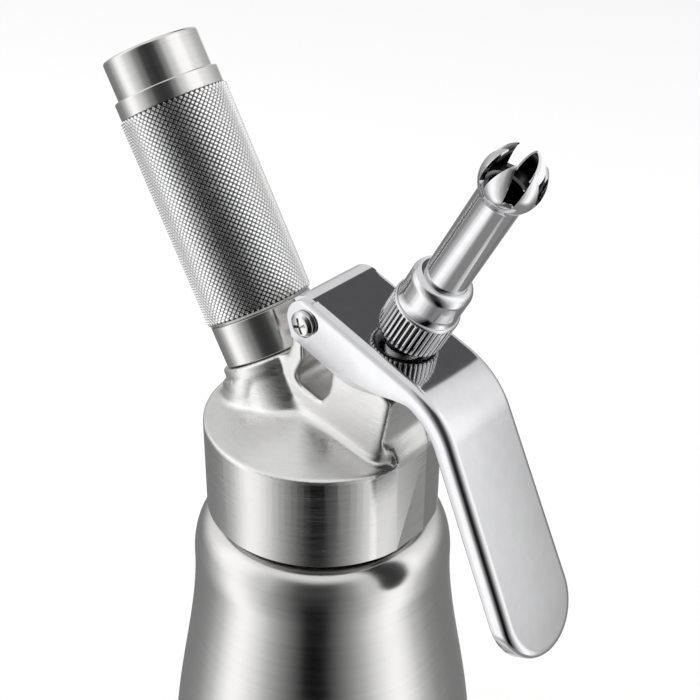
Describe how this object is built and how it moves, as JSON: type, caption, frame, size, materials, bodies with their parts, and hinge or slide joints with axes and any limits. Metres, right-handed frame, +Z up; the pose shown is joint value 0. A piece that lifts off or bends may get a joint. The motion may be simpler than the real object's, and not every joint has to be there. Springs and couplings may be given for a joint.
{
  "type": "whipped cream dispenser",
  "caption": "Free-standing pressure bottle with a screwed cast head, inclined charger holder, sprung lever valve and slotted tulip nozzle.",
  "frame": {"origin": "centre of the bottle's underside, on the surface it stands on", "axes": "+Z up along the bottle, +X toward the lever and the nozzle, -X toward the charger holder, XZ is the plane of symmetry"},
  "size_m": [0.1427, 0.088, 0.2775],
  "materials": {
    "bottle": "brushed",
    "neck_ring": "brushed",
    "head": "brushed",
    "head_gasket": "matte",
    "inlet_stub": "brushed",
    "piercing_pin": "satin",
    "check_plug": "matte",
    "check_spring": "satin",
    "check_retainer": "satin",
    "charger_gasket": "matte",
    "holder_core": "satin turned",
    "holder_grip": "diamond knurled",
    "charger": "satin",
    "charger_seal": "satin",
    "valve_stem": "satin",
    "valve_spring": "satin",
    "valve_o_ring": "matte",
    "valve_seal": "matte",
    "valve_nut": "satin",
    "nozzle_gasket": "matte",
    "nozzle_adapter": "polished",
    "tulip_nozzle": "polished",
    "lever": "polished",
    "hinge_barrel": "satin",
    "hinge_screw_near": "polished",
    "hinge_screw_far": "polished"
  },
  "bodies": {
    "bottle": {"bottle": "bottle", "neck_ring": "neck_ring"},
    "head_thread": {"head_gasket": "head_gasket"},
    "head": {"head": "head", "inlet_stub": "inlet_stub", "piercing_pin": "piercing_pin", "check_retainer": "check_retainer", "check_spring": "check_spring", "charger_gasket": "charger_gasket", "hinge_barrel": "hinge_barrel", "hinge_screw_near": "hinge_screw_near", "hinge_screw_far": "hinge_screw_far", "valve_spring": "valve_spring"},
    "check_valve": {"check_plug": "check_plug"},
    "charger": {"charger": "charger", "charger_seal": "charger_seal"},
    "holder": {"holder_core": "holder_core", "holder_grip": "holder_grip"},
    "lever": {"lever": "lever"},
    "valve": {"valve_stem": "valve_stem", "valve_o_ring": "valve_o_ring", "valve_seal": "valve_seal", "valve_nut": "valve_nut"},
    "nozzle_thread": {"nozzle_gasket": "nozzle_gasket"},
    "nozzle": {"nozzle_adapter": "nozzle_adapter", "tulip_nozzle": "tulip_nozzle"}
  },
  "joints": [
    {"name": "head_lift", "type": "slide", "parent": "bottle", "child": "head_thread", "axis": [0, 0, 1], "range_m": [0, 0.0101]},
    {"name": "head_unscrew", "type": "hinge", "parent": "head_thread", "child": "head", "pos_m": [0, 0, 0.16], "axis": [0, 0, 1], "range_deg": [0, 900]},
    {"name": "lever_squeeze", "type": "hinge", "parent": "head", "child": "lever", "pos_m": [0.0054, 0, 0.22012], "axis": [0, 1, 0], "range_deg": [0, 9], "stiffness_Nm_per_rad": 0.8, "springref_deg": -28.65},
    {"name": "valve_press", "type": "slide", "parent": "head", "child": "valve", "axis": [-0.4848, 0, -0.8746], "range_m": [0, 0.0031], "stiffness_N_per_m": 400, "springref_m": -0.005, "deforming": ["valve_spring"]},
    {"name": "nozzle_lift", "type": "slide", "parent": "valve", "child": "nozzle_thread", "axis": [0.4848, 0, 0.8746], "range_m": [0, 0.0051]},
    {"name": "nozzle_unscrew", "type": "hinge", "parent": "nozzle_thread", "child": "nozzle", "pos_m": [0.0082, 0, 0.1865], "axis": [0.4848, 0, 0.8746], "range_deg": [0, 1440]},
    {"name": "holder_lift", "type": "slide", "parent": "head", "child": "charger", "axis": [-0.5075, 0, 0.8616], "range_m": [0, 0.0061]},
    {"name": "holder_unscrew", "type": "hinge", "parent": "charger", "child": "holder", "pos_m": [-0.008, 0, 0.1865], "axis": [-0.5075, 0, 0.8616], "range_deg": [0, 1440]},
    {"name": "check_open", "type": "slide", "parent": "head", "child": "check_valve", "axis": [0.5075, 0, -0.8616], "range_m": [0, 0.0008], "stiffness_N_per_m": 50, "springref_m": -0.002, "deforming": ["check_spring"]}
  ],
  "couplings": [
    {"joint": "head_lift", "follows": "head_unscrew", "m_per_rad": 0.00063662},
    {"joint": "valve_press", "follows": "lever_squeeze", "m_per_rad": 0.0192},
    {"joint": "nozzle_lift", "follows": "nozzle_unscrew", "m_per_rad": 0.00019894},
    {"joint": "holder_lift", "follows": "holder_unscrew", "m_per_rad": 0.00023873}
  ]
}
